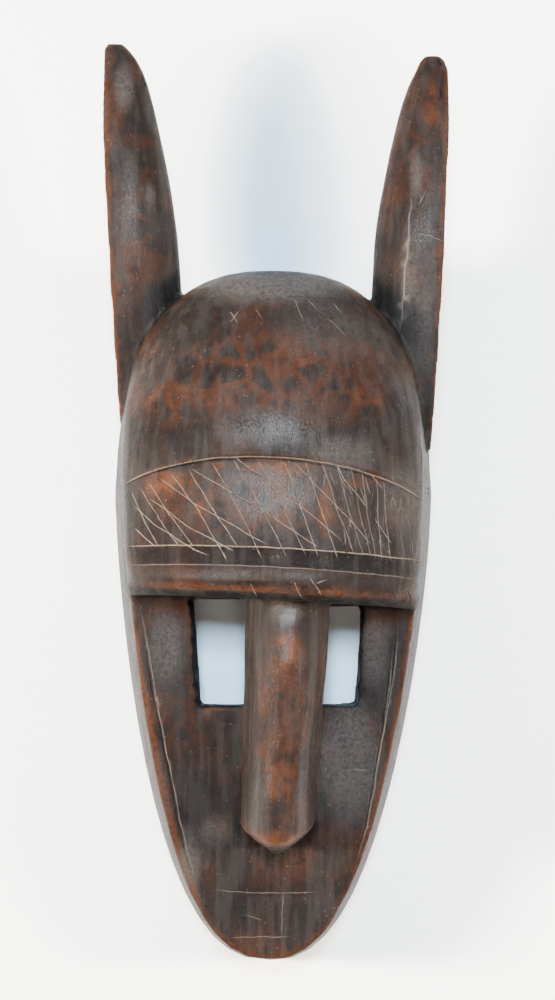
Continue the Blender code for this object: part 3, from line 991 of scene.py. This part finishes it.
def stained_wood(colours):
    """Close-grained hardwood, cut with a knife, stained with plant dye and soot, and rubbed by handling.

    The stain is thin and red-brown in patches and worn to orange-brown on the edges. Long fibres run along
    Y and show as fine streaks in the gloss. Shade is painted into the hollows, the brow's channel, under the
    lip and on the sides of the brow, and sheen and highlights are painted on as a grey film.
    """
    made = bpy.data.materials.new("stained_hardwood")
    made.use_nodes = True
    tree = made.node_tree
    shader = tree.nodes["Principled BSDF"]
    place_on = node(tree, "ShaderNodeTexCoord", output="Object")
    kept = {
        name: node(tree, "ShaderNodeAttribute", output="Fac", attribute_name=name)
        for name in ("dust_and_highlight", "wear", "grime_and_shade", *PATCHES)
    }
    pattern = {}
    for name, size, drawn_out, detail, rough, shift in PATTERNS:
        spread = {
            "Vector": place_on,
            "Scale": (1.0, 1.0 / drawn_out, 1.0),
            "Location": (shift, shift, shift),
        }
        speckle = {
            "Vector": node(tree, "ShaderNodeMapping", spread),
            "Scale": 1.0 / (size * MILLIMETRE),
            "Detail": detail,
            "Roughness": rough,
        }
        pattern[name] = node(tree, "ShaderNodeTexNoise", speckle)
    bends = {"Vector": place_on, "Scale": 1.0 / (BEND_SIZE * MILLIMETRE), "Detail": 4.0}
    swayed = {
        0: node(tree, "ShaderNodeTexNoise", bends, output="Color"),
        1: (BEND_SWAY, BEND_SWAY, BEND_SWAY),
        2: place_on,
    }
    cells = {
        "Vector": node(tree, "ShaderNodeVectorMath", swayed, operation="MULTIPLY_ADD"),
        "Scale": 1.0 / (WEB_SIZE * MILLIMETRE),
    }
    pattern["web"] = node(
        tree, "ShaderNodeTexVoronoi", cells, feature="DISTANCE_TO_EDGE", output="Distance"
    )

    stain = (*colours.umber, 1.0)
    for name, start, full, most, colour_name in STAIN_LAYERS:
        reach = {
            "Value": pattern[name],
            "From Min": start,
            "From Max": full,
            "To Max": kept.get(most, most),
        }
        cover = node(tree, "ShaderNodeMapRange", reach, interpolation_type="SMOOTHSTEP")
        layer = {0: cover, 6: stain, 7: (*getattr(colours, colour_name), 1.0)}
        stain = node(tree, "ShaderNodeMix", layer, output=2, data_type="RGBA")
    tree.links.new(stain, shader.inputs["Base Color"])

    rubbed = {"Value": kept["polish"], "To Min": UNRUBBED, "To Max": RUBBED}
    gloss = node(tree, "ShaderNodeMapRange", rubbed, clamp=False)
    for name, start, full, most in GLOSS_LAYERS:
        reach = {"Value": pattern[name], "From Min": start, "From Max": full, "To Max": most}
        cover = node(tree, "ShaderNodeMapRange", reach, interpolation_type="SMOOTHSTEP")
        gloss = node(tree, "ShaderNodeMath", {0: gloss, 1: cover}, operation="ADD")
    tree.links.new(gloss, shader.inputs["Roughness"])
    shader.inputs["Specular IOR Level"].default_value = 0.055

    crumbs = {"Height": pattern["crumbs"], "Strength": 0.35, "Distance": 0.3 * MILLIMETRE}
    fibres = {"Height": pattern["fibres"], "Strength": 0.55, "Distance": 0.3 * MILLIMETRE}
    fibres["Normal"] = node(tree, "ShaderNodeBump", crumbs)
    tree.links.new(node(tree, "ShaderNodeBump", fibres), shader.inputs["Normal"])
    return made


# The paper's tooth in millimetres, drawn as coarse as it takes for it to show
TOOTH_SIZE = 2.5


def sheet_material(sheet_colour):
    """Matt white paper sheet with a faint tooth."""
    made = bpy.data.materials.new("matt_paper")
    made.use_nodes = True
    tree = made.node_tree
    shader = tree.nodes["Principled BSDF"]
    shader.inputs["Base Color"].default_value = (*sheet_colour, 1.0)
    shader.inputs["Roughness"].default_value = 0.9
    shader.inputs["Specular IOR Level"].default_value = 0.2
    place_on = node(tree, "ShaderNodeTexCoord", output="Object")
    grain = {"Vector": place_on, "Scale": 1.0 / (TOOTH_SIZE * MILLIMETRE), "Detail": 3.0}
    tooth = {
        "Height": node(tree, "ShaderNodeTexNoise", grain),
        "Strength": 0.25,
        "Distance": 0.4 * MILLIMETRE,
    }
    tree.links.new(node(tree, "ShaderNodeBump", tooth), shader.inputs["Normal"])
    return made


class MASK_OT_carve(bpy.types.Operator):
    """Carve, scratch and stain the mask"""

    bl_idname = "mask.carve"
    bl_label = "Carve the Mask"

    def execute(self, context):
        sizes, colours, _ = settings()
        mesh = even_net(sizes)
        points, normals = positions(mesh), vertex_normals(mesh)
        inside = is_inside(mesh, points, normals)
        knife_facets(points, normals, inside, sizes)
        gouge_marks(points, normals, inside, sizes)
        unevenness(points, normals)
        ragged_eye_holes(points, Surface(mesh))
        place(mesh, points)
        stands_out = hollow_or_edge(mesh, points, vertex_normals(mesh), 8)
        mesh = thin_out(mesh, NET_TRIANGLES / (2 * len(mesh.polygons)))
        surface = Surface(mesh)
        marks = [brow_scratches(surface, sizes), other_scratches(surface, sizes), lip_nicks(surface)]
        marks += [*face_grooves(surface), *cut_lines(surface), corner_shade(surface)]
        marks += [*small_damage(surface), worn_edges(surface)]
        refine(mesh, surface, marks, sizes)
        stands_out = carried_over(positions(mesh), points, stands_out)
        uncut = positions(mesh)
        cover = {name: patches(surface, uncut, table) for name, table in PATCHES.items()}
        amounts = carve_marks(mesh, marks)
        # Edges that stand out are worn, and hollows get painted shade
        edge_wear = smooth(stands_out, 0.00020, 0.00060)
        hollow_shade = smooth(-stands_out, 0.00015, 0.00060)
        store(mesh, "dust_and_highlight", amounts["dust_and_highlight"] * (1.0 - 0.35 * cover["polish"]))
        store(mesh, "wear", np.maximum(amounts["wear"], 0.45 * edge_wear))
        store(mesh, "grime_and_shade", np.maximum(amounts["grime_and_shade"], 0.8 * hollow_shade))
        cover["polish"] -= 0.7 * amounts["grime_and_shade"]
        for name, values in cover.items():
            store(mesh, name, values)
        for face in mesh.polygons:
            face.use_smooth = True
        mesh.name = "carved_mask"
        mesh.materials.append(stained_wood(colours))
        piece = bpy.data.objects.new("carved_mask", mesh)
        context.scene.collection.objects.link(piece)
        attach(piece, "root")
        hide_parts("mask")
        return {"FINISHED"}


# The light of the room, and the tints of the lights
ROOM_TINT, ROOM_STRENGTH = (0.90, 0.95, 1.0, 1.0), 0.07
WARM, COOL, PALE, SKY = (1.0, 0.86, 0.70), (0.50, 0.75, 1.0), (1.0, 0.92, 0.84), (0.72, 0.86, 1.0)

# Lights: name, place, size, the setting that gives their power and their share of it, tint, whether they
# light the mask up, and whether they show in it as reflections
LIGHTS = (
    ("left_light", (-1.40, -0.05, 0.76), (0.24, 0.34), "side_power", 1.0, WARM, True, False),
    ("right_light", (1.40, -0.05, 0.72), (0.24, 0.34), "side_power", 0.62, WARM, True, False),
    ("top_light", (-0.02, 0.36, 1.65), (0.24, 0.30), "top_power", 1.0, COOL, True, False),
    ("front_light", (0.0, -0.50, 1.50), (0.50, 0.30), "top_power", 0.05, PALE, True, False),
    ("top_glint", (-0.03, 0.36, 1.65), (0.24, 0.30), "glint_power", 1.4, SKY, False, True),
    ("left_strip", (-1.20, -0.05, 1.00), (0.15, 0.90), "glint_power", 1.2, PALE, False, True),
    ("right_strip", (1.20, -0.05, 0.98), (0.15, 0.90), "glint_power", 1.0, PALE, False, True),
    ("left_glint", (-0.42, 0.36, 1.60), (0.10, 0.30), "glint_power", 1.0, PALE, False, True),
    ("right_glint", (0.42, 0.36, 1.60), (0.10, 0.30), "glint_power", 1.0, PALE, False, True),
)

# What the lights point at
AIM = Vector((0.0, 0.0, 0.05))


def area_light(name, place_at, size, power, tint, lights_up, reflects):
    light = bpy.data.lights.new(name, "AREA")
    light.shape = "RECTANGLE"
    light.size, light.size_y = size
    light.energy = power
    light.color = tint
    made = bpy.data.objects.new(name, light)
    made.location = place_at
    made.rotation_euler = (AIM - Vector(place_at)).to_track_quat("-Z", "Y").to_euler()
    made.visible_diffuse = lights_up
    made.visible_glossy = reflects
    bpy.context.scene.collection.objects.link(made)


class MASK_OT_stage(bpy.types.Operator):
    """Lay the sheet, hang the lights and set up the camera"""

    bl_idname = "mask.stage"
    bl_label = "Set the Stage"

    def execute(self, context):
        _, _, studio = settings()
        shape = bmesh.new()
        bmesh.ops.create_grid(shape, x_segments=1, y_segments=1, size=SHEET_REACH)
        mesh = bpy.data.meshes.new("sheet")
        shape.to_mesh(mesh)
        shape.free()
        mesh.materials.append(sheet_material(studio.sheet))
        sheet = bpy.data.objects.new("sheet", mesh)
        context.scene.collection.objects.link(sheet)
        for name, place_at, size, setting, share, tint, lights_up, reflects in LIGHTS:
            power = share * getattr(studio, setting)
            area_light(name, place_at, size, power, tint, lights_up, reflects)
        world = bpy.data.worlds.new("room")
        world.use_nodes = True
        world.node_tree.nodes["Background"].inputs["Color"].default_value = ROOM_TINT
        world.node_tree.nodes["Background"].inputs["Strength"].default_value = ROOM_STRENGTH
        context.scene.world = world
        camera = bpy.data.cameras.new("camera")
        camera.sensor_fit = "VERTICAL"
        camera.sensor_height = SENSOR
        camera.lens = SENSOR * (studio.camera_height - PIXEL_HEIGHT) / (PIXEL * PHOTO_HEIGHT)
        eye = bpy.data.objects.new("camera", camera)
        eye.location = (CAMERA_X, CAMERA_Y, studio.camera_height)
        context.scene.collection.objects.link(eye)
        context.scene.camera = eye
        return {"FINISHED"}


class MASK_PT_panel(bpy.types.Panel):
    """Sizes, colours and steps of the mask"""

    bl_idname = "MASK_PT_panel"
    bl_label = "Hyena Mask"
    bl_space_type = "VIEW_3D"
    bl_region_type = "UI"
    bl_category = "Mask"

    def draw(self, context):
        for group in settings():
            for name in group.bl_rna.properties.keys():
                if name not in ("rna_type", "name"):
                    self.layout.prop(group, name)
        for operator in OPERATORS:
            self.layout.operator(operator.bl_idname)


GROUPS = {"mask_sizes": MaskSizes, "mask_colours": MaskColours, "mask_studio": StudioSettings}
OPERATORS = (MASK_OT_carve, MASK_OT_stage)


def register():
    for name, group in GROUPS.items():
        bpy.utils.register_class(group)
        setattr(bpy.types.Scene, name, bpy.props.PointerProperty(type=group))
    for made in (*OPERATORS, MASK_PT_panel):
        bpy.utils.register_class(made)


def unregister():
    for made in (MASK_PT_panel, *reversed(OPERATORS)):
        bpy.utils.unregister_class(made)
    for name, group in GROUPS.items():
        delattr(bpy.types.Scene, name)
        bpy.utils.unregister_class(group)


def main():
    register()
    bpy.ops.mask.carve()
    bpy.ops.mask.stage()


if __name__ == "__main__":
    main()
